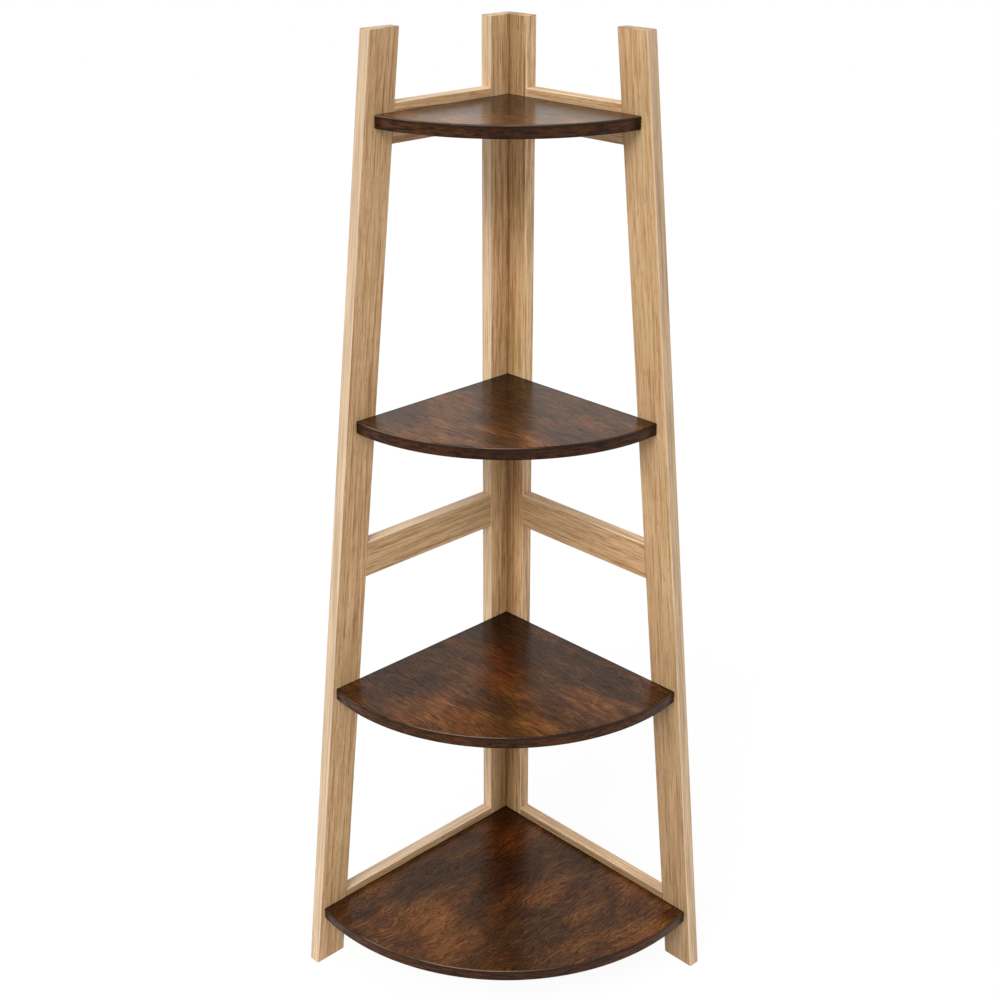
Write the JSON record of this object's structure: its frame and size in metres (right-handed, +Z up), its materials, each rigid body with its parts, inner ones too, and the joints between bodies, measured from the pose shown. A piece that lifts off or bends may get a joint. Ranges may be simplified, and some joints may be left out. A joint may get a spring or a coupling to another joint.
{
  "type": "corner shelf",
  "caption": "Free-standing corner shelf with two leaning-leg oak side frames and rounded dark brown shelves that grow towards the floor.",
  "frame": {"origin": "on the floor, at the middle of the footprint's square", "axes": "+Z up; the left frame stands against a wall on the -X side, the right frame against a wall on the +Y side, and the shelves' fronts face +X and -Y"},
  "size_m": [0.432, 0.432, 1.4],
  "materials": {
    "oak_frame": "satin lacquered oak",
    "brown_shelf": "semi-gloss rustic brown wood",
    "beech_dowel": "raw beech",
    "steel_hardware": "zinc-plated"
  },
  "bodies": {
    "root": {"left_back_post": "oak_frame", "right_back_post": "oak_frame", "left_front_leg": "oak_frame", "right_front_leg": "oak_frame", "left_top_rail": "oak_frame", "left_middle_rail": "oak_frame", "left_bottom_rail": "oak_frame", "right_top_rail": "oak_frame", "right_middle_rail": "oak_frame", "right_bottom_rail": "oak_frame", "top_shelf": "brown_shelf", "upper_shelf": "brown_shelf", "lower_shelf": "brown_shelf", "bottom_shelf": "brown_shelf", "left_top_rail_dowels": "beech_dowel", "left_middle_rail_dowels": "beech_dowel", "left_bottom_rail_dowels": "beech_dowel", "right_top_rail_dowels": "beech_dowel", "right_middle_rail_dowels": "beech_dowel", "right_bottom_rail_dowels": "beech_dowel", "top_shelf_bolts": "steel_hardware", "upper_shelf_bolts": "steel_hardware", "lower_shelf_bolts": "steel_hardware", "bottom_shelf_bolts": "steel_hardware", "top_shelf_nuts": "steel_hardware", "upper_shelf_nuts": "steel_hardware", "lower_shelf_nuts": "steel_hardware", "bottom_shelf_nuts": "steel_hardware", "corner_bolts": "steel_hardware", "corner_nuts": "steel_hardware"}
  },
  "joints": []
}
